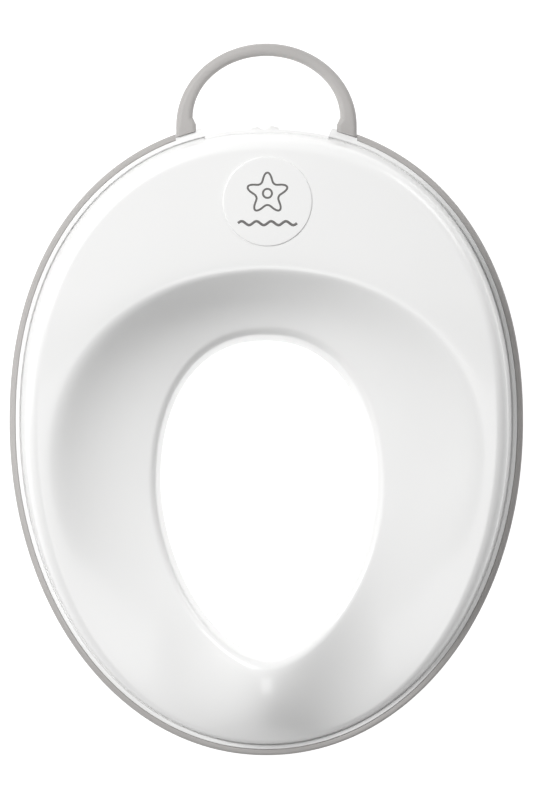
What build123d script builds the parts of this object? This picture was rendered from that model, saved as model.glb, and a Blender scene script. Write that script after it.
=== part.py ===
from build123d import *
from dataclasses import dataclass, replace
import math
import os

os.makedirs("parts", exist_ok=True)

# A child's toilet training seat: a hollow moulded seat with a carrying handle, which lies on an adult
# toilet ring. A dial at the rear drives a jaw against the inside of that ring.
# +Z is up, -Y is the child's front, +Y the rear with the handle. Millimetres.

# ---- Driving dimensions ----

# Plan outline of the grip rim: two half super-ellipses that meet at the widest line
rim_half_width = 150.4
rim_front_reach = 195.2
rim_rear_reach = 176.8
rim_front_power = 2.043
rim_rear_power = 2.201

# Child opening, at the foot of the splash collar
opening_half_width = 62.3
opening_front_reach = 101.9
opening_rear_reach = 84.9
opening_front_power = 1.80
opening_rear_power = 2.25
opening_offset = 36.4        # the opening's widest line lies this far in front of the seat's

# Levels, from the foot of the splash collar upwards
collar_depth = 52.0          # from the collar's foot to the plane that lies on the toilet ring
grip_lip = 3.0               # soft lip under the frame
plate_thickness = 2.5
grip_height = 6.4            # full height of the soft rim
flange_lip_height = 1.3      # small upstand of the frame around the seat shell

# Widths of the edge, from the outline inwards
grip_width = 3.6
flange_lip_width = 2.4
edge_groove = 0.6            # joint line between the frame's upstand and the shell's wall
grip_lip_width = 16.0
edge_round = 0.4             # on the upstand's upper edges

# Seat shell
shell_wall = 2.6
rear_deck = 46.0             # heights above the frame's plate
front_deck = 10.0
deck_low_reach = 177.0       # from the widest line forwards, where the deck is lowest
deck_high_reach = 73.0       # from the widest line rearwards, where the deck is highest
rim_rise = 14.0              # opening's edge above the plate
wall_draft = 8.0             # lean of the outer wall, in degrees
shoulder_radius = 9.0
rim_radius = 5.0
side_crest = 0.725           # place of the bowl's crest, from the opening (0) to the wall (1)
rear_crest = 0.296
crest_softness = 5.0
bowl_power = 3.0
bowl_straight = 0.5          # share of the bowl's fall that is a straight slope
pommel_rise = 23.0
pommel_spread = 36.0
pommel_ridge = 9.5           # from the opening's edge to the top of the splash guard
pommel_lip_drop = 0.10

# Splash collar
collar_taper = 2.2           # lean of the collar between its foot and its upper edge
collar_front_taper = 0.8
collar_wall = 2.4
collar_seam = 0.3
collar_flange = 9.0
collar_flange_thickness = 2.0
front_pad_half_width = 26.0
front_pad_height = 16.0
front_pad_thickness = 1.2

# Carrying handle: an arch between two half-ellipses, with feet that flare inwards
handle_outer_half = 52.9
handle_outer_rise = 48.2
handle_inner_half = 43.2
handle_inner_rise = 36.2
handle_inner_lift = 4.7      # the inner ellipse's centre behind the outer one's
handle_set_in = 3.4          # the outer ellipse's centre inside the outline's rear tip
handle_thickness = 7.6
handle_round = 3.4
foot_round = 2.6
handle_lift = 0.6            # underside of the arch above the ring plane
foot_inner = 41.3            # from the middle plane to the foot's inner side
foot_flare = 4.0             # length over which the bar widens into its foot
foot_gap = 0.2
socket_inset = 2.2           # edge of the frame over the foot, inside the outline
ear_inset = 0.8              # edge of the frame beside the foot, inside the outline
notch_half_width = 34.5      # gap in the frame's edge over the dial
notch_flare = 3.0
tongue_reach = 26.0
tongue_inset = 4.0           # from the shell's rear tip to the tongue's thick end
handle_screw_inset = 12.7    # from the shell's rear tip to the first screw
handle_screw_spacing = 9.9

# Adjuster: dial, spiral groove, slide and jaw
dial_inset = 3.8             # the dial's rear edge inside the outline's rear tip
dial_radius = 26.7
dial_height = 10.5
dial_lobes = 14
dial_phase = 80.3            # direction of the first lobe in degrees from +X
scallop_radius = 4.5
scallop_offset = 2.5
dial_chamfer = 0.6
dial_turn = 240.0
jaw_travel = 14.0
groove_end_radius = 7.2
groove_depth = 3.0
pin_radius = 1.6
pin_clearance = 0.3
axle_radius = 4.2
axle_clearance = 0.05
cap_radius = 9.4
cap_thickness = 1.0
cap_round = 0.3
counterbore_depth = 3.4
axle_end_gap = 0.1
washer_thickness = 0.8
washer_inset = 1.0           # washer's edge inside the cap's
axle_screw_radius = 2.0
axle_screw_head = 1.2
axle_screw_gap = 1.0         # screw's tip below the roof
slide_thickness = 3.2
slide_gap = 0.4
tongue_half_width = 16.0
finger_half_width = 6.0      # narrow rear end of the tongue, over the groove
finger_wall = 0.6            # beyond the pin
slot_gap = 1.0               # round the neck, in the frame's slot
neck_half_width = 14.0
neck_thickness = 6.0
arm_thickness = 4.0
jaw_radius = 112.0
jaw_half_width = 44.0
jaw_thickness = 5.0
jaw_height = 27.0
lug_height = 9.0             # block that screws the jaw to the slide's arm
jaw_screw_x = 8.0
jaw_top_gap = 2.5            # top of the jaw below the ring plane
jaw_ahead = 18.0             # from the neck's middle to the jaw's pressing face
pad_thickness = 2.2
pad_side_margin = 4.0
pad_edge_margin = 3.0
lug_overlap = 1.0            # lug's front inside the jaw's wall
jaw_screw_sink = 1.0         # screw heads below the lug's face
gusset_place = 0.7           # share of the jaw's half width
gusset_thickness = 2.0
gusset_height = 2.0
gusset_reach = 4.0

# Adjuster housing
housing_half_width = 36.0
housing_wall = 2.6
housing_front_gap = 5.0
ear_width = 11.0
ear_thickness = 3.0
keeper_depth = 7.2
keeper_gap = 2.15            # from the keeper to the dial, and to the neck at the end of its travel
guide_overlap = 1.0          # keeper's posts into the slide's side guides
housing_edge = 6.4           # rear edge of the roof inside the outline
ear_spacing = 38.0

# Fasteners
screw_radius = 1.4
pilot_clearance = 0.05
hole_clearance = 0.25
head_radius = 3.0
head_height = 2.0
boss_radius = 3.8
screw_bite = 7.0             # length of thread in the boss
fit_gap = 0.3
screw_tip_gap = 0.5
rib_screw_gap = 1.0

# Badge on the rear deck
badge_radius = 25.8
badge_proud = 0.7
badge_depth = 0.9
badge_setback = 43.3         # from the shell's rear wall

# Ribs of the frame
rib_thickness = 2.0
rib_height = 5.0
rib_ring_inset = 26.0        # ring of rib inside the shell's wall
rib_angles = (0, 40, 80, 116)
rib_end_gap = 5.0
rib_top_gap = 1.0            # below the shell, where the deck is low
frame_screw_angles = (20, 60, 98, 134)
frame_screw_inset = 15.0

# ---- Places that follow from them ----

handle_centre_reach = rim_rear_reach - handle_set_in
handle_reach = handle_centre_reach + handle_outer_rise
widest_y = (rim_front_reach - handle_reach) / 2
opening_y = widest_y - opening_offset
ring_plane = collar_depth
plate_bottom = ring_plane + grip_lip
plate_top = plate_bottom + plate_thickness
shell_inset = grip_width + flange_lip_width + edge_groove
foot_outer = handle_outer_half
handle_y = widest_y + handle_centre_reach

dial_y = widest_y + rim_rear_reach - dial_inset - dial_radius
dial_bottom = plate_bottom
dial_top = dial_bottom + dial_height
slide_bottom = dial_top + slide_gap
slide_top = slide_bottom + slide_thickness
roof_bottom = slide_top + fit_gap
roof_top = roof_bottom + housing_wall
above_all = 3 * roof_top
axle_bottom = dial_bottom + counterbore_depth - axle_end_gap
washer_bottom = axle_bottom - washer_thickness
groove_start_radius = groove_end_radius + jaw_travel
pin_y = dial_y - groove_start_radius
keeper_y = dial_y - dial_radius - keeper_gap - keeper_depth / 2
neck_y = keeper_y - keeper_depth / 2 - keeper_gap - jaw_travel - neck_thickness / 2
jaw_face_y = neck_y + jaw_ahead
jaw_top = ring_plane - jaw_top_gap
jaw_bottom = jaw_top - jaw_height
lug_bottom = jaw_top - arm_thickness - lug_height
jaw_screw_seat = lug_bottom + head_height + jaw_screw_sink
housing_front = neck_y - neck_thickness / 2 - housing_front_gap
gap_low_y = widest_y + rim_rear_reach / 2

station_step = 7.5
stations = [station_step * n for n in range(-2, 27)]


@dataclass(frozen=True)
class Egg:
    """Closed plan curve of two half super-ellipses; angle 0 is its front tip, 180 its rear tip."""

    half_width: float
    front: float
    rear: float
    front_power: float
    rear_power: float
    centre_y: float

    def grown(self, margin):
        return replace(
            self,
            half_width=self.half_width + margin,
            front=self.front + margin,
            rear=self.rear + margin,
        )

    def point(self, degrees):
        turn = math.radians(degrees)
        facing_front = math.cos(turn) > 0
        reach = self.front if facing_front else self.rear
        power = self.front_power if facing_front else self.rear_power
        across = abs(math.sin(turn)) / self.half_width
        along = abs(math.cos(turn)) / reach
        radius = (across**power + along**power) ** (-1 / power)
        return Vector(radius * math.sin(turn), self.centre_y - radius * math.cos(turn), 0)

    def prism(self, low, high):
        outline = Spline([self.point(degrees) for degrees in range(0, 360, 6)], periodic=True)
        return extrude(Pos(0, 0, low) * make_face(outline), high - low)


outline_egg = Egg(
    rim_half_width, rim_front_reach, rim_rear_reach, rim_front_power, rim_rear_power, widest_y
)
shell_egg = outline_egg.grown(-shell_inset)
opening_egg = Egg(
    opening_half_width,
    opening_front_reach,
    opening_rear_reach,
    opening_front_power,
    opening_rear_power,
    opening_y,
)
edge_egg = replace(opening_egg.grown(collar_taper), front=opening_front_reach + collar_front_taper)


def block(x_low, x_high, y_low, y_high, z_low, z_high):
    """Box between two corners."""
    size = Box(x_high - x_low, y_high - y_low, z_high - z_low)
    return Pos((x_low + x_high) / 2, (y_low + y_high) / 2, (z_low + z_high) / 2) * size


def post(x, y, low, high, radius):
    """Upright cylinder between two levels."""
    return Pos(x, y, (low + high) / 2) * Cylinder(radius, high - low)


# ---- Seat surface: heights above the plate, on vertical sections from the wall to the opening ----


def smooth_step(value, low, high):
    """Rises from 0 at low to 1 at high with level ends."""
    share = min(max((value - low) / (high - low), 0), 1)
    return share * share * (3 - 2 * share)


def soft_min(first, second, softness):
    """The smaller of two heights, with the corner between them rounded."""
    return (first + second - math.hypot(first - second, softness)) / 2


def section_spot(degrees, inward):
    """Plan point at a distance inwards from the shell's wall, on one section."""
    wall = shell_egg.point(degrees)
    edge = edge_egg.point(degrees)
    return wall + (edge - wall) * (inward / section_run(degrees))


def section_run(degrees):
    """Plan distance from the shell's wall to the opening's edge."""
    return (edge_egg.point(degrees) - shell_egg.point(degrees)).length


def crest_share(degrees):
    """Where the bowl's crest lies between the opening (0) and the wall (1)."""
    around = min(abs(degrees), 360 - abs(degrees))
    return side_crest + (rear_crest - side_crest) * smooth_step(around, 80, 175)


def seat_height(degrees, inward):
    """Deck, bowl and splash guard together, before the edges are rounded."""
    run = section_run(degrees)
    out = 1 - inward / run
    spot = section_spot(degrees, inward)
    rise = smooth_step(spot.Y, widest_y - deck_low_reach, widest_y + deck_high_reach)
    deck = front_deck + (rear_deck - front_deck) * rise
    share = max(out, 0) / crest_share(degrees)
    fall = bowl_straight * share + (1 - bowl_straight) * share**bowl_power
    bowl = rim_rise + (deck - rim_rise) * fall
    height = soft_min(deck, bowl, crest_softness)
    ridge = pommel_ridge / run
    if out < ridge:
        ramp = 1 - pommel_lip_drop * ((ridge - out) / ridge) ** 2
    else:
        ramp = 1 - ((out - ridge) / (1 - ridge)) ** 2
    frontness = smooth_step(math.cos(math.radians(degrees)), 0, 0.8)
    return height + pommel_rise * math.exp(-((spot.X / pommel_spread) ** 2)) * ramp * frontness


def shoulder_at(degrees):
    """Radius of the shoulder, which shrinks where the deck is low."""
    return shoulder_radius * (1 - math.exp(-seat_height(degrees, 0) / shoulder_radius))


def edge_height(degrees):
    """Height of the shell's edge at the opening, above the plate."""
    return seat_height(degrees, section_run(degrees)) - rim_radius


def top_profile(degrees):
    """Distance inwards and height of the points along one section of the shell's outer face."""
    run = section_run(degrees)
    shoulder = shoulder_at(degrees)
    crest = crest_share(degrees)
    draft = math.radians(wall_draft)
    lean = (seat_height(degrees, 0) - shoulder) * math.tan(draft)
    deck_start = 1 - (lean + shoulder * math.cos(draft)) / run
    wall_top = seat_height(degrees, lean) - shoulder * (1 - math.sin(draft))
    profile = [(lean * share, wall_top * share) for share in (0, 0.35, 0.65, 0.87)]
    for share in (0, 0.25, 0.5, 0.75, 1):
        turn = draft + (math.pi / 2 - draft) * share
        inward = lean + shoulder * (math.cos(draft) - math.cos(turn))
        drop = shoulder * (1 - math.sin(turn))
        profile.append((inward, seat_height(degrees, inward) - drop))
    deck_shares = [crest + (deck_start - crest) * share for share in (0.75, 0.5, 0.25)]
    bowl_shares = [crest * share for share in (1.0, 0.9, 0.78, 0.64, 0.5, 0.36, 0.22)]
    for out in deck_shares + bowl_shares:
        inward = run * (1 - out)
        profile.append((inward, seat_height(degrees, inward)))
    for turn in (90, 60, 30, 0):
        inward = run - rim_radius * (1 - math.cos(math.radians(turn)))
        drop = rim_radius * (1 - math.sin(math.radians(turn)))
        profile.append((inward, seat_height(degrees, inward) - drop))
    return profile


def inner_profile(profile):
    """The same points moved by the wall's thickness into the material."""
    below_wall = (profile[0][0], profile[0][1] - shell_wall)
    below_edge = (profile[-1][0], profile[-1][1] - shell_wall)
    extended = [below_wall] + profile + [below_edge]
    moved = []
    for before, (inward, height), after in zip(extended, profile, extended[2:]):
        along = (after[0] - before[0], after[1] - before[1])
        length = math.hypot(*along)
        moved.append(
            (inward + shell_wall * along[1] / length, height - shell_wall * along[0] / length)
        )
    moved[0] = (profile[0][0] + shell_wall, profile[0][1])
    moved[-1] = (profile[-1][0] - shell_wall, profile[-1][1])
    return moved


def spaced_parameters():
    """Spline parameters shared by all sections: their mean share of the length along the profile."""
    totals = None
    for degrees in stations:
        profile = top_profile(degrees)
        steps = [math.dist(a, b) for a, b in zip(profile, profile[1:])]
        shares = [step / sum(steps) for step in steps]
        totals = shares if totals is None else [t + s for t, s in zip(totals, shares)]
    parameters = [0.0]
    for total in totals:
        parameters.append(parameters[-1] + total / len(stations))
    return [value / parameters[-1] for value in parameters]


def to_space(degrees, profile):
    """Section points as points of the seat."""
    return [
        section_spot(degrees, inward) + Vector(0, 0, plate_top + height)
        for inward, height in profile
    ]


def both_sides(sections):
    """Solid lofted through the sections of one side, cut at the middle plane and mirrored."""
    reach = 2 * (rim_half_width + handle_reach)
    half = Solid.make_loft(sections) & block(0, reach, -reach, reach, -reach, reach)
    return half + mirror(half, about=Plane.YZ)


def shell_section(degrees, parameters):
    """Closed section of the shell: outer face, edge at the opening, inner face, foot of the wall."""
    outer = to_space(degrees, top_profile(degrees))
    inner = to_space(degrees, inner_profile(top_profile(degrees)))
    back = [1 - value for value in reversed(parameters)]
    edges = [
        Edge.make_spline(outer, parameters=parameters),
        Edge.make_line(outer[-1], inner[-1]),
        Edge.make_spline(inner[::-1], parameters=back),
        Edge.make_line(inner[0], outer[0]),
    ]
    return Wire(edges)


def volume_section(degrees, parameters):
    """Closed section of all the space under the shell's outer face."""
    outer = to_space(degrees, top_profile(degrees))
    below = Vector(0, 0, plate_top)
    low_edge = Vector(outer[-1].X, outer[-1].Y, 0) - below
    low_wall = Vector(outer[0].X, outer[0].Y, 0) - below
    edges = [
        Edge.make_spline(outer, parameters=parameters),
        Edge.make_line(outer[-1], low_edge),
        Edge.make_line(low_edge, low_wall),
        Edge.make_line(low_wall, outer[0]),
    ]
    return Wire(edges)


def collar_section(degrees):
    """Leaning wall from the shell's edge down to the collar's foot, in the shell's section plane."""
    run = section_run(degrees)
    taper = (edge_egg.point(degrees) - opening_egg.point(degrees)).length
    top_height = Vector(0, 0, plate_top + edge_height(degrees) - collar_seam)
    corners = [
        section_spot(degrees, run + taper),
        section_spot(degrees, run + taper - collar_wall),
        section_spot(degrees, run - collar_wall) + top_height,
        section_spot(degrees, run) + top_height,
    ]
    return Wire.make_polygon(corners)


shape_parameters = spaced_parameters()
seat_volume = both_sides([volume_section(degrees, shape_parameters) for degrees in stations])


# ---- Fasteners ----


def pan_screw(x, y, seat_z, bite):
    """Pan-head screw pointing up from its seat, with a cross recess in its head."""
    head = post(x, y, seat_z - head_height, seat_z, head_radius)
    head = fillet(head.edges().group_by(Axis.Z)[0], head_height / 3)
    recess_depth = head_height / 2
    for angle in (0, 90):
        slot = Rot(0, 0, angle) * Box(head_radius * 1.2, head_radius / 4, recess_depth)
        head -= Pos(x, y, seat_z - head_height + recess_depth / 2) * slot
    return head + post(x, y, seat_z, seat_z + bite, screw_radius)


# ---- Where the screws stand ----


def frame_screw_spots():
    spots = []
    for degrees in frame_screw_angles:
        spot = section_spot(degrees, frame_screw_inset)
        spots += [(spot.X, spot.Y), (-spot.X, spot.Y)]
    return spots


foot_x = (foot_inner + foot_outer) / 2
foot_back = shell_egg.point(180).Y - handle_screw_inset
tongue_rear = shell_egg.point(180).Y - tongue_inset
handle_screw_spots = [
    (side * foot_x, y) for side in (-1, 1) for y in (foot_back, foot_back - handle_screw_spacing)
]
ear_ys = (housing_front + ear_width / 2, housing_front + ear_width / 2 + ear_spacing)
ear_x = housing_half_width + ear_width / 2
ear_spots = [(side * ear_x, y) for side in (-1, 1) for y in ear_ys]
keeper_post_x = tongue_half_width + fit_gap + housing_wall + boss_radius - guide_overlap
keeper_bottom = slide_bottom - fit_gap - housing_wall
jaw_screw_spots = [
    (side * jaw_screw_x, jaw_face_y - jaw_thickness - 2 * head_radius) for side in (-1, 1)
]


def make_shell():
    shell = both_sides([shell_section(degrees, shape_parameters) for degrees in stations])
    bosses = [post(x, y, plate_top, above_all, boss_radius) for x, y in frame_screw_spots()]
    bosses += [post(x, y, plate_top, above_all, boss_radius) for x, y in handle_screw_spots]
    shell += [boss & Pos(0, 0, -shell_wall / 2) * seat_volume for boss in bosses]
    for x, y in frame_screw_spots() + handle_screw_spots:
        shell -= post(x, y, plate_top, plate_top + screw_bite, screw_radius + pilot_clearance)
    window = housing_half_width + fit_gap
    shell -= block(-window, window, dial_y, dial_y + rim_rear_reach, 0, roof_top + fit_gap)
    pocket = post(0, badge_y(), plate_top, above_all, badge_radius + pilot_clearance)
    shell -= pocket - Pos(0, 0, -badge_depth) * seat_volume
    return shell


def badge_y():
    return shell_egg.point(180).Y - badge_setback


def make_badge():
    disc = post(0, badge_y(), plate_top, above_all, badge_radius)
    disc &= Pos(0, 0, badge_proud) * seat_volume
    disc -= Pos(0, 0, -badge_depth) * seat_volume
    return disc


def rear_block(x_low, x_high):
    """Everything behind the opening between two distances from the middle plane."""
    return block(x_low, x_high, gap_low_y, gap_low_y + rim_rear_reach, 0, roof_top)


def notch():
    """Gap in the frame's edge through which the dial is turned; its sides lean outwards."""
    low_y, high_y = shell_egg.point(180).Y - shell_inset, handle_y + handle_outer_rise
    low, high = notch_half_width, notch_half_width + notch_flare * (high_y - low_y) / shell_inset
    corners = [(-low, low_y), (low, low_y), (high, high_y), (-high, high_y)]
    return extrude(make_face(Polyline(corners, close=True)), roof_top, dir=(0, 0, 1))


def make_collar():
    wall = both_sides([collar_section(degrees) for degrees in stations])
    flange = edge_egg.grown(collar_flange).prism(plate_top, plate_top + collar_flange_thickness)
    flange -= opening_egg.grown(collar_wall).prism(0, roof_top)
    return wall + flange


def make_socket():
    """Frame's edge beside and over each foot of the handle, outside the shell's wall."""
    top = plate_top + flange_lip_height
    ears = outline_egg.grown(-ear_inset).prism(plate_bottom, top)
    covers = outline_egg.grown(-socket_inset).prism(plate_bottom, top)
    inside = shell_egg.grown(edge_groove).prism(plate_bottom, top)
    pieces = []
    for side in (-1, 1):
        beside = sorted((side * notch_half_width, side * (foot_inner - foot_gap)))
        over = sorted((side * (foot_inner - 2 * foot_gap), side * (foot_outer + foot_gap)))
        pieces.append((ears & rear_block(*beside)) - inside)
        pieces.append((covers & rear_block(*over)) - inside)
    return pieces


def make_frame():
    plate_egg = outline_egg.grown(-grip_width)
    frame = plate_egg.prism(plate_bottom, plate_top)
    lip = plate_egg.prism(plate_top, plate_top + flange_lip_height)
    lip -= plate_egg.grown(-flange_lip_width).prism(plate_bottom, roof_top)
    lip = fillet(lip.edges().group_by(Axis.Z)[-1], edge_round)
    frame += lip - rear_block(-foot_outer - foot_gap, foot_outer + foot_gap)
    frame += make_socket()
    ribs = outline_egg.grown(-shell_inset - rib_ring_inset).prism(plate_top, plate_top + rib_height)
    ribs -= outline_egg.grown(-shell_inset - rib_ring_inset - rib_thickness).prism(0, roof_top)
    for degrees in rib_angles:
        for side in (-1, 1):
            start = section_spot(degrees, shell_wall + rib_end_gap)
            end = section_spot(degrees, section_run(degrees) - collar_flange - rib_end_gap)
            middle = (start + end) / 2
            heading = math.degrees(math.atan2(end.Y - start.Y, end.X - start.X))
            rib = Rot(0, 0, heading) * Box((end - start).length, rib_thickness, rib_height)
            rib = Pos(middle.X, middle.Y, plate_top + rib_height / 2) * rib
            ribs += rib if side > 0 else mirror(rib, about=Plane.YZ)
    keep_clear = housing_half_width + ear_width + rib_end_gap / 2
    ribs -= block(-keep_clear, keep_clear, opening_y, gap_low_y + rim_rear_reach, 0, roof_top * 2)
    for x, y in frame_screw_spots():
        ribs -= post(x, y, plate_top, roof_top, boss_radius + rib_screw_gap)
    ribs &= Pos(0, 0, -shell_wall - rib_top_gap) * seat_volume
    frame += ribs
    frame -= opening_egg.grown(collar_taper + collar_wall).prism(0, roof_top)
    frame -= notch() - shell_egg.prism(0, roof_top)
    window = dial_radius + scallop_radius
    frame -= block(-window, window, dial_y - window, dial_y + rim_rear_reach, 0, roof_top)
    slot = neck_half_width + slot_gap
    slot_front = neck_y - neck_thickness / 2 - slot_gap
    slot_rear = neck_y + neck_thickness / 2 + jaw_travel + slot_gap
    frame -= block(-slot, slot, slot_front, slot_rear, 0, roof_top)
    for x, y in frame_screw_spots() + handle_screw_spots + ear_spots:
        frame -= post(x, y, 0, roof_top, screw_radius + hole_clearance)
    return frame


def make_grip_rim():
    rim = outline_egg.prism(ring_plane, ring_plane + grip_height)
    rim = fillet(rim.edges(), grip_width / 2.2)
    rim -= outline_egg.grown(-grip_width).prism(plate_bottom, roof_top)
    rim -= outline_egg.grown(-grip_lip_width).prism(0, roof_top)
    return rim - rear_block(-foot_outer - foot_gap, foot_outer + foot_gap)


def bar_section(inner, outer, corner):
    """Rounded upright section of the handle's bar between two plan points."""
    across = outer - inner
    level = Vector(0, 0, ring_plane + handle_lift + handle_thickness / 2)
    plane = Plane(origin=(inner + outer) / 2 + level, x_dir=across, z_dir=Vector(-across.Y, across.X))
    return plane * RectangleRounded(across.length, handle_thickness, corner)


def arch_section(degrees):
    """Section of the arch between the inner and the outer half-ellipse."""
    along, up = math.cos(math.radians(degrees)), math.sin(math.radians(degrees))
    inner_y = handle_y + handle_inner_lift
    inner = Vector(handle_inner_half * along, inner_y + handle_inner_rise * up)
    outer = Vector(handle_outer_half * along, handle_y + handle_outer_rise * up)
    return bar_section(inner, outer, handle_round)


def make_handle():
    arch = loft([arch_section(degrees) for degrees in range(0, 181, 15)])
    flare_y = handle_y + handle_inner_lift - foot_flare
    foot_sections = [arch_section(0)]
    for reach in (0, 2 * foot_flare):
        inner = Vector(foot_inner, flare_y - reach)
        outer = Vector(foot_outer, flare_y - reach - handle_inner_lift / 2)
        foot_sections.append(bar_section(inner, outer, foot_round))
    foot = loft(foot_sections, ruled=True)
    foot -= outline_egg.grown(-socket_inset + foot_gap).prism(plate_bottom, roof_top * 2)
    tongue_top = foot.bounding_box().min.Y + foot_flare
    tongue_low = tongue_rear - tongue_reach
    foot += block(foot_inner, foot_outer, tongue_low, tongue_top, ring_plane, plate_bottom)
    handle = arch + foot + mirror(foot, about=Plane.YZ)
    for x, y in handle_screw_spots:
        handle -= post(x, y, 0, plate_top, screw_radius + hole_clearance)
        handle -= post(x, y, 0, ring_plane + head_height, head_radius + hole_clearance)
    return handle


def make_housing():
    roof = outline_egg.grown(-housing_edge).prism(plate_top, roof_top)
    half = housing_half_width
    body = block(-half, half, housing_front, dial_y + rim_rear_reach, plate_top, roof_top)
    body &= roof
    inside = half - housing_wall
    front_inside = housing_front + housing_wall
    body -= block(-inside, inside, front_inside, dial_y + rim_rear_reach, 0, roof_bottom)
    for x, y in ear_spots:
        ear = block(x - ear_width / 2, x + ear_width / 2, y - ear_width / 2, y + ear_width / 2,
                    plate_top, plate_top + ear_thickness)
        body += ear - block(-inside, inside, 0, y + ear_width, 0, roof_top)
    for side in (-1, 1):
        near = tongue_half_width + fit_gap
        x_ends = sorted((side * near, side * (near + housing_wall)))
        body += block(*x_ends, housing_front, dial_y - dial_radius, slide_bottom, roof_bottom)
        body += post(side * keeper_post_x, keeper_y, slide_bottom - fit_gap, roof_bottom, boss_radius)
        pilot = screw_radius + pilot_clearance
        body -= post(side * keeper_post_x, keeper_y, 0, roof_bottom, pilot)
    body += post(0, dial_y, axle_bottom, roof_bottom, axle_radius)
    body -= post(0, dial_y, 0, roof_bottom, axle_screw_radius + pilot_clearance)
    for x, y in ear_spots:
        body -= post(x, y, 0, roof_top, screw_radius + pilot_clearance)
    return body


def spiral_spot(turned, sideways):
    """Point beside the groove's middle line, after the dial has turned by so many degrees."""
    pitch = jaw_travel / math.radians(dial_turn)
    radius = groove_start_radius - pitch * math.radians(turned)
    angle = math.radians(-90 - turned)
    outward = Vector(math.cos(angle), math.sin(angle))
    around = Vector(math.sin(angle), -math.cos(angle))
    along = (around * radius - outward * pitch).normalized()
    return outward * radius + along.rotate(Axis.Z, 90) * sideways


def spiral_groove():
    """Cutter of the groove: a strip of even width along an Archimedean spiral, with round ends."""
    half = pin_radius + pin_clearance
    turns = [dial_turn * n / 24 for n in range(25)]
    strip = make_face(
        [
            Spline([spiral_spot(turned, half) for turned in turns]),
            Line(spiral_spot(dial_turn, half), spiral_spot(dial_turn, -half)),
            Spline([spiral_spot(turned, -half) for turned in reversed(turns)]),
            Line(spiral_spot(0, -half), spiral_spot(0, half)),
        ]
    )
    cutter = extrude(strip, groove_depth, dir=(0, 0, 1))
    for turned in (0, dial_turn):
        end = spiral_spot(turned, 0)
        cutter += post(end.X, end.Y, 0, groove_depth, half)
    return cutter


def make_dial():
    dial = post(0, 0, dial_bottom, dial_top, dial_radius)
    for lobe in range(dial_lobes):
        angle = math.radians(dial_phase + (lobe + 0.5) * 360 / dial_lobes)
        far = dial_radius + scallop_offset
        dial -= post(far * math.cos(angle), far * math.sin(angle), 0, roof_top, scallop_radius)
    dial = chamfer(dial.faces().sort_by(Axis.Z)[-1].outer_wire().edges(), dial_chamfer)
    dial = chamfer(dial.faces().sort_by(Axis.Z)[0].outer_wire().edges(), dial_chamfer)
    dial -= post(0, 0, 0, roof_top, axle_radius + axle_clearance)
    dial -= post(0, 0, 0, dial_bottom + counterbore_depth, cap_radius)
    dial -= Pos(0, 0, dial_top - groove_depth) * spiral_groove()
    return Pos(0, dial_y, 0) * dial


def make_dial_cap():
    cap = post(0, dial_y, dial_bottom, dial_bottom + cap_thickness, cap_radius)
    return fillet(cap.edges(), cap_round)


def make_dial_washer():
    washer = post(0, dial_y, washer_bottom, axle_bottom, cap_radius - washer_inset)
    return washer - post(0, dial_y, 0, roof_top, axle_screw_radius + hole_clearance)


def make_dial_screw():
    low = washer_bottom - axle_screw_head
    screw = post(0, dial_y, low, washer_bottom, 2 * axle_screw_radius)
    screw += post(0, dial_y, washer_bottom, roof_bottom - axle_screw_gap, axle_screw_radius)
    recess = axle_screw_head / 2
    for angle in (0, 90):
        slot = Rot(0, 0, angle) * Box(2.4 * axle_screw_radius, axle_screw_radius / 2, recess)
        screw -= Pos(0, dial_y, low + recess / 2) * slot
    return screw


def make_slide():
    rear = pin_y + pin_radius + finger_wall
    front = neck_y - neck_thickness / 2
    wide_rear = dial_y - axle_radius - fit_gap - jaw_travel - finger_half_width
    slide = block(-tongue_half_width, tongue_half_width, front, wide_rear, slide_bottom, slide_top)
    slide += block(-finger_half_width, finger_half_width, wide_rear, rear, slide_bottom, slide_top)
    arm_top = jaw_top
    arm_bottom = jaw_top - arm_thickness
    neck_rear = front + neck_thickness
    slide += block(-neck_half_width, neck_half_width, front, neck_rear, arm_bottom, slide_top)
    arm_rear = jaw_face_y - jaw_thickness
    slide += block(-neck_half_width, neck_half_width, front, arm_rear, arm_bottom, arm_top)
    slide -= jaw_band(jaw_radius - jaw_thickness, jaw_radius, jaw_half_width, jaw_bottom, jaw_top)
    slide -= post(0, pin_y, 0, roof_top, pin_radius)
    for x, y in jaw_screw_spots:
        slide -= post(x, y, 0, arm_top, screw_radius + pilot_clearance)
    return slide


def make_slide_pin():
    return post(0, pin_y, dial_top - groove_depth + fit_gap, slide_top, pin_radius)


def jaw_band(inner, outer, half_width, low, high):
    """Curved band about the ring's centre, between two radii."""
    centre_y = jaw_face_y - jaw_radius
    band = post(0, centre_y, low, high, outer) - post(0, centre_y, low, high, inner)
    return band & block(-half_width, half_width, centre_y, centre_y + 2 * outer, low, high)


def make_jaw():
    inner = jaw_radius - jaw_thickness
    jaw = jaw_band(inner, jaw_radius, jaw_half_width, jaw_bottom, jaw_top)
    front = neck_y - neck_thickness / 2
    lug_top = jaw_top - arm_thickness
    rear = jaw_face_y - lug_overlap
    lug = block(-neck_half_width, neck_half_width, front, rear, lug_bottom, lug_top)
    jaw += lug - jaw_band(jaw_radius, 2 * jaw_radius, jaw_half_width, 0, jaw_top)
    for x, y in jaw_screw_spots:
        jaw -= post(x, y, 0, jaw_top - arm_thickness, screw_radius + hole_clearance)
        jaw -= post(x, y, 0, jaw_screw_seat, head_radius + hole_clearance)
    band = jaw_band(inner - gusset_reach, inner + lug_overlap, jaw_half_width, jaw_bottom, jaw_top)
    for side in (-1, 1):
        low = side * gusset_place * jaw_half_width - gusset_thickness / 2
        high = low + gusset_thickness
        jaw += band & block(low, high, neck_y, jaw_face_y, jaw_bottom, jaw_bottom + gusset_height)
    return jaw


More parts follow.
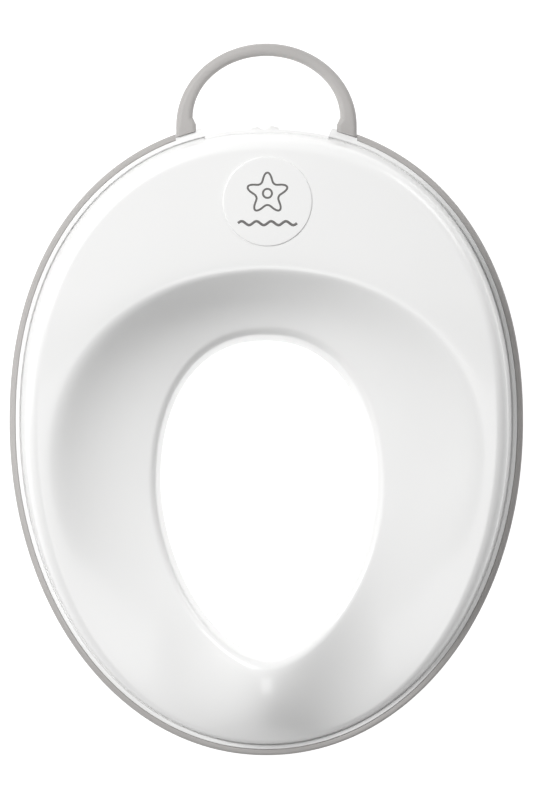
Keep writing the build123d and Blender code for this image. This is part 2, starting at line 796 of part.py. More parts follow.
def make_jaw_pad():
    outer = jaw_radius + pad_thickness
    half = jaw_half_width - pad_side_margin
    return jaw_band(jaw_radius, outer, half, jaw_bottom + pad_edge_margin, jaw_top - pad_edge_margin)


def make_keeper():
    half = keeper_post_x + boss_radius
    low, high = keeper_bottom, slide_bottom - fit_gap
    keeper = block(-half, half, keeper_y - keeper_depth / 2, keeper_y + keeper_depth / 2, low, high)
    for side in (-1, 1):
        keeper -= post(side * keeper_post_x, keeper_y, 0, roof_top, screw_radius + hole_clearance)
    return keeper


def make_front_pad(collar):
    low = (ring_plane - front_pad_height) / 2
    high = low + front_pad_height
    pad = opening_egg.grown(collar_wall + collar_taper + front_pad_thickness).prism(low, high)
    pad -= opening_egg.grown(collar_wall).prism(low, high)
    front = opening_y - opening_front_reach / 2
    half = front_pad_half_width
    pad &= block(-half, half, front - rim_front_reach, front, low, high)
    return pad - collar


def screws(spots, seat, bite):
    """Separate screws of one kind, as one node."""
    return Compound(children=[pan_screw(x, y, seat, bite) for x, y in spots])


collar = make_collar()
handle_screw_seat = ring_plane + head_height
keeper_spots = [(side * keeper_post_x, keeper_y) for side in (-1, 1)]

nodes = {
    "seat_shell": make_shell(),
    "badge_disc": make_badge(),
    "splash_collar": collar,
    "front_pad": make_front_pad(collar),
    "under_frame": make_frame(),
    "grip_rim": make_grip_rim(),
    "carry_handle": make_handle(),
    "adjuster_housing": make_housing(),
    "adjuster_dial": make_dial(),
    "dial_cap": make_dial_cap(),
    "dial_washer": make_dial_washer(),
    "dial_screw": make_dial_screw(),
    "adjuster_slide": make_slide(),
    "slide_pin": make_slide_pin(),
    "slide_keeper": make_keeper(),
    "adjuster_jaw": make_jaw(),
    "jaw_pad": make_jaw_pad(),
    "frame_screws": screws(frame_screw_spots(), plate_bottom, plate_thickness + screw_bite - screw_tip_gap),
    "handle_screws": screws(
        handle_screw_spots, handle_screw_seat, plate_top + screw_bite - screw_tip_gap - handle_screw_seat
    ),
    "housing_screws": screws(ear_spots, plate_bottom, plate_thickness + ear_thickness - fit_gap),
    "keeper_screws": screws(keeper_spots, keeper_bottom, roof_bottom - fit_gap - keeper_bottom),
    "jaw_screws": screws(jaw_screw_spots, jaw_screw_seat, jaw_top - 2 * screw_tip_gap - jaw_screw_seat),
}
for name, shape in nodes.items():
    export_step(shape, f"parts/{name}.step")
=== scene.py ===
"""Looks of a child's toilet training seat: smooth moulded surfaces, soft grey rim and plain studio."""

import math

import bmesh
import bpy
import numpy as np
from mathutils import Matrix, Vector


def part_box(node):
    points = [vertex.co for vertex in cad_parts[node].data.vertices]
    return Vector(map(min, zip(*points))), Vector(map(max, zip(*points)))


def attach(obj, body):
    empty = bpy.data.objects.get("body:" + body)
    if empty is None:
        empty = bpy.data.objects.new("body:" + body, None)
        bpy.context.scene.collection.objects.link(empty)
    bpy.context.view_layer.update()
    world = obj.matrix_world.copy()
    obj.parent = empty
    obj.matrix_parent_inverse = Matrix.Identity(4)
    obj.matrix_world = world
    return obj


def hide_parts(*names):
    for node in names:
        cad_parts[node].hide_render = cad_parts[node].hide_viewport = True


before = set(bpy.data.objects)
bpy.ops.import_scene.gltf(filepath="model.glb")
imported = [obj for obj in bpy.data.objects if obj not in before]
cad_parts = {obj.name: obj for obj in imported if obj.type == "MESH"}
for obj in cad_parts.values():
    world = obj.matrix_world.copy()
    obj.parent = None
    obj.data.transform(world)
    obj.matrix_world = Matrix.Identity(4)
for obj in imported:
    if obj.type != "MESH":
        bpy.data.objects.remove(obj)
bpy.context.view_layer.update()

# ---- Sizes of the seat, in millimetres, where the frame's boxes don't give them ----

MM = 0.001
RIM_FRONT_REACH = 195.2
RIM_REAR_REACH = 176.8
RIM_POWERS = (2.043, 2.201)          # front and rear super-ellipse powers of the rim's outline
OPENING_HALF_WIDTH = 62.3
OPENING_REACHES = (101.9, 84.9)
OPENING_POWERS = (1.80, 2.25)
OPENING_OFFSET = 36.4
GRIP_WIDTH = 3.6
GRIP_LIP_WIDTH = 16.0
GRIP_LIP = 3.0
GRIP_ROUND = GRIP_WIDTH / 2.2        # radius of the rim's outer corners
GRIP_INNER_ROUND = 0.8               # radius of its upper corner against the frame
GRIP_LIP_BEVEL = 0.4
FLANGE_LIP_WIDTH = 2.4
EDGE_GROOVE = 0.6
SHELL_INSET = GRIP_WIDTH + FLANGE_LIP_WIDTH + EDGE_GROOVE
SHELL_WALL = 2.6
WALL_DRAFT = math.radians(8)
REAR_DECK = 46.0
FRONT_DECK = 10.0
DECK_LOW_REACH = 177.0
DECK_HIGH_REACH = 73.0
RIM_RISE = 14.0
SHOULDER_RADIUS = 9.0
RIM_RADIUS = 5.0
SIDE_CREST = 0.725
REAR_CREST = 0.296
CREST_SOFTNESS = 5.0
BOWL_POWER = 3.0
BOWL_STRAIGHT = 0.5
POMMEL_RISE = 23.0
POMMEL_SPREAD = 36.0
POMMEL_RIDGE = 9.5
POMMEL_LIP_DROP = 0.10
COLLAR_TAPER = 2.2
COLLAR_FRONT_TAPER = 0.8
COLLAR_WALL = 2.4
COLLAR_SEAM = 0.3
COLLAR_FLANGE = 9.0
COLLAR_FLANGE_THICKNESS = 2.0
BADGE_RADIUS = 25.8
BADGE_PROUD = 0.7
BADGE_DEPTH = 0.9
BADGE_ROUND = 0.55                   # radius of the badge's upper edge
EAR_WIDTH = 11.0                     # screw ears on the sides of the adjuster's housing
FIT_GAP = 0.3
FOOT_GAP = 0.2
SHARP_ANGLE = math.radians(35)
POLE = 0.02                          # radius of the tiny hole left at the middle of a polar grid


def box_mm(node):
    """Lowest and highest corner of a CAD node, in millimetres."""
    return [np.array(corner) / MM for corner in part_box(node)]


rim_low, rim_high = box_mm("grip_rim")
shell_low = box_mm("seat_shell")[0]
housing_high = box_mm("adjuster_housing")[1]
handle_high = box_mm("carry_handle")[1]
badge_low, badge_high = box_mm("badge_disc")

widest_y = rim_low[1] + RIM_FRONT_REACH
plate_top = shell_low[2]
ring_plane = rim_low[2]
badge_x = (badge_low[0] + badge_high[0]) / 2
badge_y = (badge_low[1] + badge_high[1]) / 2
TURN = 2 * math.pi


# ---- Plan curves and the seat's surface ----


class Egg:
    """Plan curve of two half super-ellipses; its points are a function of the turn from the front tip."""

    def __init__(self, half_width, reaches, powers, centre_y):
        self.half_width, self.reaches, self.powers = half_width, reaches, powers
        self.centre_y = centre_y

    def grown(self, margin):
        reaches = [reach + margin for reach in self.reaches]
        return Egg(self.half_width + margin, reaches, self.powers, self.centre_y)

    def point(self, turn):
        """Radius = (|sin|/half width ^ p + |cos|/reach ^ p) ^ (-1/p), measured from the widest line."""
        facing_front = np.cos(turn) > 0
        reach = np.where(facing_front, *self.reaches)
        power = np.where(facing_front, *self.powers)
        across = (np.abs(np.sin(turn)) / self.half_width) ** power
        along = (np.abs(np.cos(turn)) / reach) ** power
        radius = (across + along) ** (-1 / power)
        return np.stack([radius * np.sin(turn), self.centre_y - radius * np.cos(turn)], axis=-1)


outline = Egg(rim_high[0], (RIM_FRONT_REACH, RIM_REAR_REACH), RIM_POWERS, widest_y)
shell_line = outline.grown(-SHELL_INSET)
opening = Egg(OPENING_HALF_WIDTH, OPENING_REACHES, OPENING_POWERS, widest_y - OPENING_OFFSET)
edge_line = opening.grown(COLLAR_TAPER)
edge_line.reaches = [OPENING_REACHES[0] + COLLAR_FRONT_TAPER, edge_line.reaches[1]]


def smooth_step(value, low, high):
    """Rises from 0 at low to 1 at high with level ends: t * t * (3 - 2t)."""
    share = np.clip((value - low) / (high - low), 0, 1)
    return share * share * (3 - 2 * share)


def soft_min(first, second, softness):
    """The smaller of two heights with a rounded corner: half of their sum less the hypotenuse."""
    return (first + second - np.hypot(first - second, softness)) / 2


def section_run(turn):
    """Plan distance from the shell's wall to the opening's edge."""
    return np.linalg.norm(edge_line.point(turn) - shell_line.point(turn), axis=-1)


def section_spot(turn, inward):
    """Plan point at a distance inwards from the shell's wall."""
    wall, edge = shell_line.point(turn), edge_line.point(turn)
    return wall + (edge - wall) * (inward / section_run(turn))[..., None]


def crest_share(turn):
    """Place of the bowl's crest between the opening (0) and the wall (1)."""
    around = np.degrees(np.minimum(np.abs(turn), np.abs(TURN - turn)))
    return SIDE_CREST + (REAR_CREST - SIDE_CREST) * smooth_step(around, 80, 175)


def seat_height(turn, inward):
    """Height above the plate: the deck's slope met by a bowl that rises as a straight line plus a cube
    of the way out, with the splash guard added as a bell curve across times a parabola along."""
    run = section_run(turn)
    out = 1 - inward / run
    spot = section_spot(turn, inward)
    rise = smooth_step(spot[..., 1], widest_y - DECK_LOW_REACH, widest_y + DECK_HIGH_REACH)
    deck = FRONT_DECK + (REAR_DECK - FRONT_DECK) * rise
    share = np.maximum(out, 0) / crest_share(turn)
    fall = BOWL_STRAIGHT * share + (1 - BOWL_STRAIGHT) * share**BOWL_POWER
    bowl = RIM_RISE + (deck - RIM_RISE) * fall
    ridge = POMMEL_RIDGE / run
    before_ridge = 1 - POMMEL_LIP_DROP * ((ridge - out) / ridge) ** 2
    after_ridge = 1 - ((out - ridge) / (1 - ridge)) ** 2
    ramp = np.where(out < ridge, before_ridge, after_ridge)
    bell = np.exp(-((spot[..., 0] / POMMEL_SPREAD) ** 2)) * smooth_step(np.cos(turn), 0, 0.8)
    return soft_min(deck, bowl, CREST_SOFTNESS) + POMMEL_RISE * bell * ramp


def edge_height(turn):
    """Height of the shell's edge at the opening, above the plate."""
    return seat_height(turn, section_run(turn)) - RIM_RADIUS


def outer_profile(turn):
    """Distance inwards and height, from the wall's foot over shoulder, deck and bowl to the opening."""
    run = section_run(turn)
    wall_height = seat_height(turn, np.zeros_like(turn))
    shoulder = SHOULDER_RADIUS * (1 - np.exp(-wall_height / SHOULDER_RADIUS))
    lean = (wall_height - shoulder) * math.tan(WALL_DRAFT)
    wall_top = seat_height(turn, lean) - shoulder * (1 - math.sin(WALL_DRAFT))
    up_wall = np.linspace(0, 1, 9)[:-1]
    arc = np.linspace(WALL_DRAFT, math.pi / 2, 15)
    shoulder_in = lean[:, None] + shoulder[:, None] * (math.cos(WALL_DRAFT) - np.cos(arc))
    shoulder_drop = shoulder[:, None] * (1 - np.sin(arc))
    deck_start = shoulder_in[:, -1]
    share = np.linspace(0, 1, 86)[1:-1]
    deck_in = deck_start[:, None] + (run - RIM_RADIUS - deck_start)[:, None] * share
    edge_arc = np.linspace(math.pi / 2, 0, 12)
    edge_in = run[:, None] - RIM_RADIUS * (1 - np.cos(edge_arc))
    edge_drop = np.broadcast_to(RIM_RADIUS * (1 - np.sin(edge_arc)), edge_in.shape)
    inward = np.concatenate([shoulder_in, deck_in, edge_in], axis=1)
    drop = np.concatenate([shoulder_drop, np.zeros_like(deck_in), edge_drop], axis=1)
    height = seat_height(turn[:, None], inward) - drop
    inward = np.concatenate([lean[:, None] * up_wall, inward], axis=1)
    height = np.concatenate([wall_top[:, None] * up_wall, height], axis=1)
    return np.stack([inward, height], axis=-1)


def offset_profile(profile, thickness):
    """The profile moved into the material, square to itself."""
    along = np.gradient(profile, axis=1)
    along[:, 0] = (0, 1)
    along[:, -1] = (0, -1)
    along /= np.linalg.norm(along, axis=-1, keepdims=True)
    return profile + thickness * np.stack([along[..., 1], -along[..., 0]], axis=-1)


def in_space(turn, profile):
    """Points of section profiles, as a grid of turns by profile points."""
    turns = np.broadcast_to(turn[:, None], profile.shape[:2])
    spot = section_spot(turns, profile[..., 0])
    return np.concatenate([spot, plate_top + profile[..., 1:]], axis=-1)


def height_over(x, y):
    """Height of the outer face over plan points of the rear deck, by bisection on the turn."""
    spot = np.stack([x, y], axis=-1)
    low, high = np.full_like(x, 0.6 * math.pi), np.full_like(x, 1.4 * math.pi)
    for _ in range(40):
        middle = (low + high) / 2
        wall, edge = shell_line.point(middle), edge_line.point(middle)
        way, off = edge - wall, spot - wall
        beyond = way[..., 0] * off[..., 1] - way[..., 1] * off[..., 0] < 0
        low, high = np.where(beyond, middle, low), np.where(beyond, high, middle)
    inward = np.linalg.norm(spot - shell_line.point(middle), axis=-1)
    return plate_top + seat_height(middle, inward)


# ---- Meshes ----


def smooth(mesh):
    """Smooth shading, with creases kept where the surface turns sharply."""
    mesh.shade_smooth()
    mesh.set_sharp_from_angle(angle=SHARP_ANGLE)


def mesh_piece(name, points, faces):
    """Mesh object from points in millimetres, its faces turned outwards by the sign of its volume."""
    points = np.asarray(points, dtype=float).reshape(-1, 3) * MM
    faces = np.asarray(faces)
    corner = points[faces]
    volume = np.einsum("ij,ij->", np.cross(corner[:, 0], corner[:, 1]), corner[:, 2])
    if volume < 0:
        faces = faces[:, ::-1]
    mesh = bpy.data.meshes.new(name)
    mesh.from_pydata(points.tolist(), [], faces.tolist())
    smooth(mesh)
    piece = bpy.data.objects.new(name, mesh)
    bpy.context.scene.collection.objects.link(piece)
    return piece


def grid_faces(rows, columns, close_rows, close_columns):
    """Quads between neighbouring points of a grid, which may close on itself either way."""
    row = np.arange(rows if close_rows else rows - 1)[:, None]
    column = np.arange(columns if close_columns else columns - 1)[None, :]
    next_row, next_column = (row + 1) % rows, (column + 1) % columns
    corners = [
        row * columns + column,
        next_row * columns + column,
        next_row * columns + next_column,
        row * columns + next_column,
    ]
    return np.stack(corners, axis=-1).reshape(-1, 4)


def ring_piece(name, grid):
    """Closed piece from a grid that closes both ways, such as a wall all round the opening."""
    rows, columns = grid.shape[:2]
    return mesh_piece(name, grid, grid_faces(rows, columns, True, True))


def cut(piece, low, high):
    """Removes a box, given by its corners in millimetres, from a piece."""
    mesh = bpy.data.meshes.new("cutter")
    corners = np.array([[x, y, z] for x in (0, 1) for y in (0, 1) for z in (0, 1)])
    points = (np.array(low) + corners * (np.array(high) - np.array(low))) * MM
    quads = [(0, 1, 3, 2), (4, 6, 7, 5), (0, 4, 5, 1), (2, 3, 7, 6), (0, 2, 6, 4), (1, 5, 7, 3)]
    mesh.from_pydata(points.tolist(), [], quads)
    cutter = bpy.data.objects.new("cutter", mesh)
    bpy.context.scene.collection.objects.link(cutter)
    modifier = piece.modifiers.new("cut", "BOOLEAN")
    modifier.operation, modifier.solver, modifier.object = "DIFFERENCE", "EXACT", cutter
    depsgraph = bpy.context.evaluated_depsgraph_get()
    result = bpy.data.meshes.new_from_object(piece.evaluated_get(depsgraph))
    piece.modifiers.clear()
    piece.data = result
    bpy.data.objects.remove(cutter)


# ---- Shader building ----


class Term:
    """A shader value that can be added, subtracted and multiplied in plain expressions."""

    def __init__(self, shader, socket):
        self.shader, self.socket = shader, socket

    def _math(self, operation, first, second):
        return self.shader.node("ShaderNodeMath", {"operation": operation}, {0: first, 1: second})

    def __add__(self, other):
        return self._math("ADD", self, other)

    def __sub__(self, other):
        return self._math("SUBTRACT", self, other)

    def __rsub__(self, other):
        return self._math("SUBTRACT", other, self)

    def __mul__(self, other):
        return self._math("MULTIPLY", self, other)

    __radd__, __rmul__ = __add__, __mul__


class Shader:
    """One material: its constants are set on the shader's own sockets, its terms are linked."""

    def __init__(self, name, **constants):
        self.material = bpy.data.materials.new(name)
        self.material.use_nodes = True
        self.nodes, self.links = self.material.node_tree.nodes, self.material.node_tree.links
        self.principled = self.nodes["Principled BSDF"]
        for socket, value in constants.items():
            self.principled.inputs[socket.replace("_", " ")].default_value = value

    def node(self, kind, settings=None, inputs=None, output=0):
        node = self.nodes.new(kind)
        for setting, value in (settings or {}).items():
            setattr(node, setting, value)
        for socket, value in (inputs or {}).items():
            if isinstance(value, Term):
                self.links.new(value.socket, node.inputs[socket])
            else:
                node.inputs[socket].default_value = value
        return Term(self, node.outputs[output])

    def place(self):
        return self.node("ShaderNodeTexCoord", output="Object")

    def noise(self, scale, detail=2.0):
        inputs = {"Vector": self.place(), "Scale": scale, "Detail": detail}
        return self.node("ShaderNodeTexNoise", {}, inputs)

    def mix(self, share, first, second):
        """Colour between two colours."""
        node = self.nodes.new("ShaderNodeMix")
        node.data_type = "RGBA"
        self.links.new(share.socket, node.inputs["Factor"])
        node.inputs["A"].default_value = (*first, 1)
        node.inputs["B"].default_value = (*second, 1)
        return Term(self, node.outputs["Result"])

    def feed(self, **terms):
        for socket, term in terms.items():
            self.links.new(term.socket, self.principled.inputs[socket.replace("_", " ")])
        return self.material

    def bump(self, height, strength, distance):
        inputs = {"Height": height, "Strength": strength, "Distance": distance}
        return self.node("ShaderNodeBump", {}, inputs)


def moulded_plastic(name, colour, roughness, coat=0.0):
    """White moulded plastic: faint cloudiness, satin flow marks and a very fine skin texture."""
    shader = Shader(name, Specular_IOR_Level=0.5, Coat_Weight=coat, Coat_Roughness=0.12)
    clouds = shader.noise(14.0, 3.0)
    skin = shader.noise(1400.0, 2.0)
    darker = [channel * 0.975 for channel in colour]
    base = shader.mix(clouds, darker, colour)
    rough = clouds * 0.08 + skin * 0.05 + (roughness - 0.065)
    normal = shader.bump(skin, 0.06, 0.0002)
    return shader.feed(Base_Color=base, Roughness=rough, Normal=normal)


def soft_rubber(name, colour, roughness, grain=0.35):
    """Soft grey rubber: fine matt grain, slight mottling and a little bloom in patches."""
    shader = Shader(name, Specular_IOR_Level=0.35)
    mottle = shader.noise(45.0, 4.0)
    fine = shader.noise(2600.0, 3.0)
    base = shader.mix(mottle, [channel * 0.93 for channel in colour], colour)
    rough = mottle * 0.10 + fine * 0.08 + (roughness - 0.09)
    normal = shader.bump(fine, grain, 0.00025)
    return shader.feed(Base_Color=base, Roughness=rough, Normal=normal)


def plated_steel(name):
    """Zinc-plated steel: fine turning marks that vary the roughness."""
    shader = Shader(name, Metallic=1.0)
    marks = shader.noise(900.0, 4.0)
    base = shader.mix(marks, (0.56, 0.57, 0.58), (0.72, 0.72, 0.73))
    return shader.feed(Base_Color=base, Roughness=marks * 0.2 + 0.22)


def printed_ink(name, colour):
    """Grey pad-printed ink with a slightly uneven film."""
    shader = Shader(name, Specular_IOR_Level=0.4)
    film = shader.noise(700.0, 3.0)
    base = shader.mix(film, [channel * 0.9 for channel in colour], colour)
    return shader.feed(Base_Color=base, Roughness=film * 0.15 + 0.35)


WHITE = (0.90, 0.90, 0.895)
WARM_GREY = (0.46, 0.445, 0.435)

gloss_white = moulded_plastic("gloss_white_plastic", WHITE, 0.30, coat=0.15)
satin_white = moulded_plastic("satin_white_plastic", (0.88, 0.88, 0.875), 0.42)
grey_rubber = soft_rubber("warm_grey_rubber", WARM_GREY, 0.62)
grey_handle = soft_rubber("warm_grey_handle", WARM_GREY, 0.50, grain=0.15)
steel = plated_steel("zinc_plated_steel")
ink = printed_ink("grey_print", (0.17, 0.165, 0.16))


def finish(piece, material, node=None, body="seat"):
    """Gives a new piece its material and body, and hides the CAD node it stands for."""
    piece.data.materials.clear()
    piece.data.materials.append(material)
    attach(piece, body)
    if node:
        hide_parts(node)
    return piece


# ---- Pieces ----


def make_shell():
    """Seat shell: outer face and inner face of every section joined into one closed wall, with the
    window that lets the dial and its housing through at the rear."""
    turn = np.linspace(0, TURN, 384, endpoint=False)
    outer = outer_profile(turn)
    inner = offset_profile(outer, SHELL_WALL)[:, ::2]
    loop = np.concatenate([outer, inner[:, ::-1]], axis=1)
    piece = ring_piece("seat_shell_moulding", in_space(turn, loop))
    side = housing_high[0] - EAR_WIDTH + FIT_GAP
    dial_front = box_mm("adjuster_dial")[0][1]
    cut(piece, (-side, dial_front, 0), (side, handle_high[1], housing_high[2] + FIT_GAP))
    smooth(piece.data)
    return finish(piece, gloss_white, "seat_shell")


def make_collar():
    """Splash collar: closed loop of inner face, foot, outer face and captured flange per section. The
    wall leans evenly by the gap between the foot's and the edge's plan curves."""
    turn = np.linspace(0, TURN, 360, endpoint=False)
    run = section_run(turn)[:, None]
    taper = np.linalg.norm(edge_line.point(turn) - opening.point(turn), axis=-1)[:, None]
    top = edge_height(turn)[:, None] - COLLAR_SEAM
    foot = -plate_top

    def wall(heights, depth):
        """Points of the leaning wall at given heights, some way into its thickness."""
        return np.stack([run + taper * (top - heights) / (top - foot) - depth, heights], axis=-1)

    fall = np.linspace(0, 1, 25)
    ones = np.ones_like(run)
    inner = wall(top + (foot - top) * fall, 0)
    below = wall(foot * (1 - fall[::2]) * ones, COLLAR_WALL)
    above = wall(COLLAR_FLANGE_THICKNESS + (top - COLLAR_FLANGE_THICKNESS) * fall[::2], COLLAR_WALL)
    reach = (run - COLLAR_FLANGE) * np.ones(2)
    levels = np.array([0, COLLAR_FLANGE_THICKNESS]) * ones
    flange = np.stack([reach, levels], axis=-1)
    loop = np.concatenate([inner, below, flange, above], axis=1)
    piece = ring_piece("splash_collar_moulding", in_space(turn, loop))
    return finish(piece, gloss_white, "splash_collar")


def rounded_corner(corner, radius, start, steps=6):
    """Quarter circle inside a corner; start is the direction of its first point in quarter turns."""
    angle = (start + np.linspace(0, 1, steps)) * math.pi / 2
    return np.array(corner) + radius * np.stack([np.cos(angle), np.sin(angle)], axis=-1)


def make_grip_rim():
    """Soft rim: an L-shaped section (inset, level) carried round the outline, left out between the feet."""
    height = rim_high[2] - rim_low[2]
    middle_in = 0.5 * GRIP_LIP_WIDTH
    bevel_start = GRIP_LIP_WIDTH - GRIP_LIP_BEVEL
    inner_corner = (GRIP_WIDTH - GRIP_INNER_ROUND, height - GRIP_INNER_ROUND)
    section = np.concatenate(
        [
            rounded_corner((GRIP_ROUND, GRIP_ROUND), GRIP_ROUND, 2),
            [[middle_in, 0], [bevel_start, 0], [GRIP_LIP_WIDTH, GRIP_LIP_BEVEL]],
            [[GRIP_LIP_WIDTH, GRIP_LIP], [middle_in, GRIP_LIP], [GRIP_WIDTH, GRIP_LIP]],
            rounded_corner(inner_corner, GRIP_INNER_ROUND, 0),
            rounded_corner((GRIP_ROUND, height - GRIP_ROUND), GRIP_ROUND, 1),
        ]
    )
    gap_x = handle_high[0] + FOOT_GAP
    low, high = np.full(len(section), math.pi / 2), np.full(len(section), math.pi)
    insets = section[:, 0]
    for _ in range(50):
        middle = (low + high) / 2
        x = np.array([outline.grown(-i).point(m)[0] for i, m in zip(insets, middle)])
        low, high = np.where(x > gap_x, middle, low), np.where(x > gap_x, high, middle)
    share = np.linspace(-1, 1, 721)
    columns = []
    for (inset, level), last in zip(section, middle):
        plan = outline.grown(-inset).point(share * last)
        columns.append(np.column_stack([plan, np.full(len(share), ring_plane + level)]))
    grid = np.stack(columns, axis=1)
    rows, count = grid.shape[:2]
    faces = grid_faces(rows, count, False, True)
    piece = strip_with_ends("grip_rim_moulding", grid, faces)
    return finish(piece, grey_rubber, "grip_rim")


def strip_with_ends(name, grid, faces):
    """Tube from a grid that closes across, with a flat face over each end."""
    rows, count = grid.shape[:2]
    piece = mesh_piece(name, grid, faces)
    shape = bmesh.new()
    shape.from_mesh(piece.data)
    shape.verts.ensure_lookup_table()
    for start in (0, (rows - 1) * count):
        shape.faces.new([shape.verts[start + n] for n in range(count)])
    bmesh.ops.recalc_face_normals(shape, faces=shape.faces)
    bmesh.ops.triangulate(shape, faces=[face for face in shape.faces if len(face.verts) > 4])
    shape.to_mesh(piece.data)
    shape.free()
    smooth(piece.data)
    return piece


def disc_grid(radii, lifts, steps):
    """Polar grid over the rear deck: rings of given radius, each lifted off the deck by its own height."""
    angle = np.linspace(0, TURN, steps, endpoint=False)[:, None]
    x = badge_x + np.array(radii) * np.cos(angle)
    y = badge_y + np.array(radii) * np.sin(angle)
    return np.stack([x, y, height_over(x, y) + np.array(lifts)], axis=-1)


def make_badge():
    """Badge: a thin disc that follows the deck, proud of it, with a rounded edge."""
    arc = np.linspace(math.pi / 2, 0, 7)
    flat = np.linspace(POLE, BADGE_RADIUS - BADGE_ROUND, 24)[:-1]
    radii = [*flat, *(BADGE_RADIUS - BADGE_ROUND + BADGE_ROUND * np.cos(arc))]
    lifts = [BADGE_PROUD] * len(flat) + list(BADGE_PROUD - BADGE_ROUND + BADGE_ROUND * np.sin(arc))
    radii += [BADGE_RADIUS, BADGE_RADIUS, BADGE_RADIUS / 2, POLE]
    lifts += [0.0, -BADGE_DEPTH, -BADGE_DEPTH, -BADGE_DEPTH]
    piece = ring_piece("badge_disc_moulding", disc_grid(radii, lifts, 160))
    return finish(piece, gloss_white, "badge_disc")


def ribbon(name, curve, width, closed):
    """Raised printed line: a strip of even width along a plan curve over the badge. Its section is a
    low crown of five points above the badge and two points below its surface."""
    along = np.gradient(curve, axis=0)
    if closed:
        along = np.roll(curve, -1, axis=0) - np.roll(curve, 1, axis=0)
    along /= np.linalg.norm(along, axis=1, keepdims=True)
    across = np.stack([-along[:, 1], along[:, 0]], axis=-1)
    offsets = width / 2 * np.array([-1, -0.86, 0, 0.86, 1, 1, -1])
    lifts = BADGE_PROUD + np.array([0.05, 0.12, 0.14, 0.12, 0.05, -0.1, -0.1])
    spot = curve[:, None] + across[:, None] * offsets[None, :, None]
    x, y = badge_x + spot[..., 0], badge_y + spot[..., 1]
    grid = np.stack([x, y, height_over(x, y) + lifts], axis=-1)
    if closed:
        return ring_piece(name, grid)
    rows, count = grid.shape[:2]
    return strip_with_ends(name, grid, grid_faces(rows, count, False, True))


def make_motif():
    """Printed motif: a round-tipped star line, whose radius is a mean plus a cosine of five waves and a
    weaker one of ten, with a small ring in it and a sine wave line below."""
    mean_radius, swell, tip_swell = 8.9, 2.6, 0.45
    ring_radius = 2.6
    wave_half, wave_low, wave_height, wave_length = 17, -12.6, 1.1, 8.5
    thin, thick = 1.15, 1.5
    angle = np.linspace(0, TURN, 240, endpoint=False)
    radius = mean_radius + swell * np.cos(5 * angle) + tip_swell * np.cos(10 * angle)
    direction = np.stack([np.sin(angle), np.cos(angle)], axis=-1)
    centre = np.array([0.0, 4.6])
    star = centre + radius[:, None] * direction
    ring = centre + ring_radius * direction
    x = np.linspace(-wave_half, wave_half, 160)
    wave = np.stack([x, wave_low + wave_height * np.sin(x * TURN / wave_length)], axis=-1)
    for name, curve, width, closed in (
        ("motif_star", star, thin, True),
        ("motif_ring", ring, thin, True),
        ("motif_wave", wave, thick, False),
    ):
        finish(ribbon(name, curve, width, closed), ink)


CARRIED_OVER = {
    satin_white: ["under_frame", "adjuster_housing", "adjuster_dial", "dial_cap", "adjuster_slide",
                  "slide_keeper", "adjuster_jaw"],
    grey_rubber: ["front_pad", "jaw_pad"],
    grey_handle: ["carry_handle"],
    steel: ["dial_washer", "dial_screw", "slide_pin", "frame_screws", "handle_screws",
            "housing_screws", "keeper_screws", "jaw_screws"],
}


def finish_carried_over():
    """Gives the CAD nodes that stay their materials."""
    for material, nodes in CARRIED_OVER.items():
        for node in nodes:
            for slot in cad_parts[node].material_slots:
                slot.material = material


# ---- Studio, in metres ----

FLOOR_HALF = 30.0
LIGHT_DISTANCE = 2.2
LIGHT_SIZE = 1.0
AIM_HEIGHT = 0.07
CAMERA_RISE = 3.0                    # above the rim's top
CAMERA_STEP = (-0.035, -0.025)       # slightly to the left and in front of the middle
CAMERA_AIM_Y = -0.0002
SENSOR = 36
VIEW_HEIGHT = 467.7 * MM             # what the frame takes in from top to bottom


def make_floor():
    """Pale floor, bright enough to read as a plain white ground."""
    mesh = bpy.data.meshes.new("floor")
    corners = [(x * FLOOR_HALF, y * FLOOR_HALF, 0) for x, y in ((-1, -1), (1, -1), (1, 1), (-1, 1))]
    mesh.from_pydata(corners, [], [(0, 1, 2, 3)])
    floor = bpy.data.objects.new("floor", mesh)
    bpy.context.scene.collection.objects.link(floor)
    shader = Shader("pale_floor", Roughness=0.9, Specular_IOR_Level=0.1)
    shader.principled.inputs["Base Color"].default_value = (0.3, 0.3, 0.3, 1)
    shader.principled.inputs["Emission Color"].default_value = (1, 1, 1, 1)
    shader.principled.inputs["Emission Strength"].default_value = 0.92
    mesh.materials.append(shader.material)


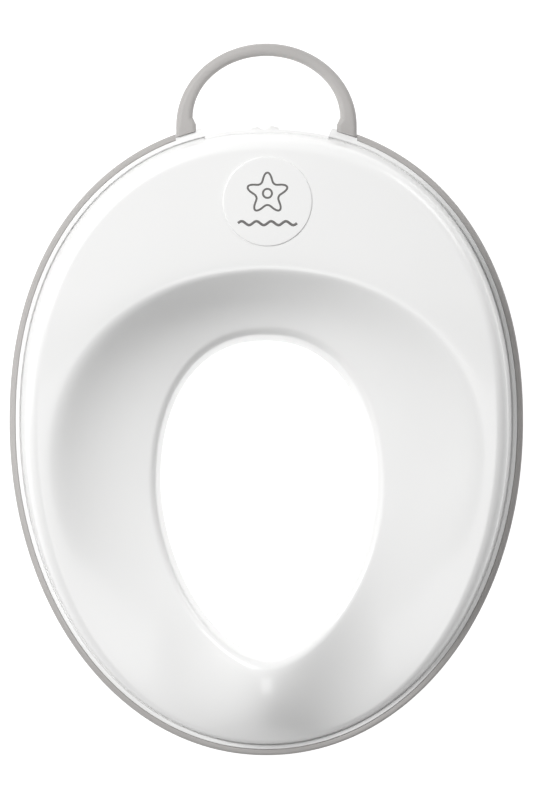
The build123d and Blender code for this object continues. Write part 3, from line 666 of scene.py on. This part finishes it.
def area_light(name, place, aim, power):
    """Soft box aimed at a point."""
    light = bpy.data.lights.new(name, "AREA")
    light.shape, light.size, light.energy = "SQUARE", LIGHT_SIZE, power
    lamp = bpy.data.objects.new(name, light)
    lamp.location = place
    lamp.rotation_euler = (Vector(aim) - Vector(place)).to_track_quat("-Z", "Y").to_euler()
    bpy.context.scene.collection.objects.link(lamp)


def make_lights():
    """Large key box at the rear left, a low rim light at the rear right and two weak fills."""
    aim = Vector((0, 0, AIM_HEIGHT))
    boxes = (                            # heading and height in degrees, power in watts
        ("key_softbox", 139, 50, 38),
        ("rim_softbox", 45, 22, 14),
        ("front_fill", 270, 61, 12),
        ("side_fill", 180, 24, 7),
    )
    for name, heading, height, power in boxes:
        heading, height = math.radians(heading), math.radians(height)
        level = math.cos(height)
        way = Vector((level * math.cos(heading), level * math.sin(heading), math.sin(height)))
        area_light(name, aim + LIGHT_DISTANCE * way, aim, power)
    world = bpy.data.worlds.new("studio")
    world.use_nodes = True
    world.node_tree.nodes["Background"].inputs["Color"].default_value = (1, 1, 1, 1)
    world.node_tree.nodes["Background"].inputs["Strength"].default_value = 0.05
    bpy.context.scene.world = world
    bpy.context.scene.view_settings.view_transform = "Standard"


def make_camera():
    """Looks almost straight down from three metres, with the handle at the top of the frame."""
    aim = Vector((0, CAMERA_AIM_Y, rim_high[2] * MM))
    place = aim + Vector((*CAMERA_STEP, CAMERA_RISE))
    camera = bpy.data.cameras.new("camera")
    camera.sensor_fit, camera.sensor_height, camera.sensor_width = "AUTO", SENSOR, SENSOR
    camera.lens = SENSOR * (place - aim).length / VIEW_HEIGHT
    eye = bpy.data.objects.new("camera", camera)
    eye.location = place
    forward = (aim - place).normalized()
    right = forward.cross(Vector((0, 1, 0))).normalized()
    up = right.cross(forward)
    eye.rotation_euler = Matrix((right, up, -forward)).transposed().to_euler()
    bpy.context.scene.collection.objects.link(eye)
    bpy.context.scene.camera = eye


make_camera()
make_shell()
make_collar()
make_grip_rim()
make_badge()
make_motif()
finish_carried_over()
make_floor()
make_lights()
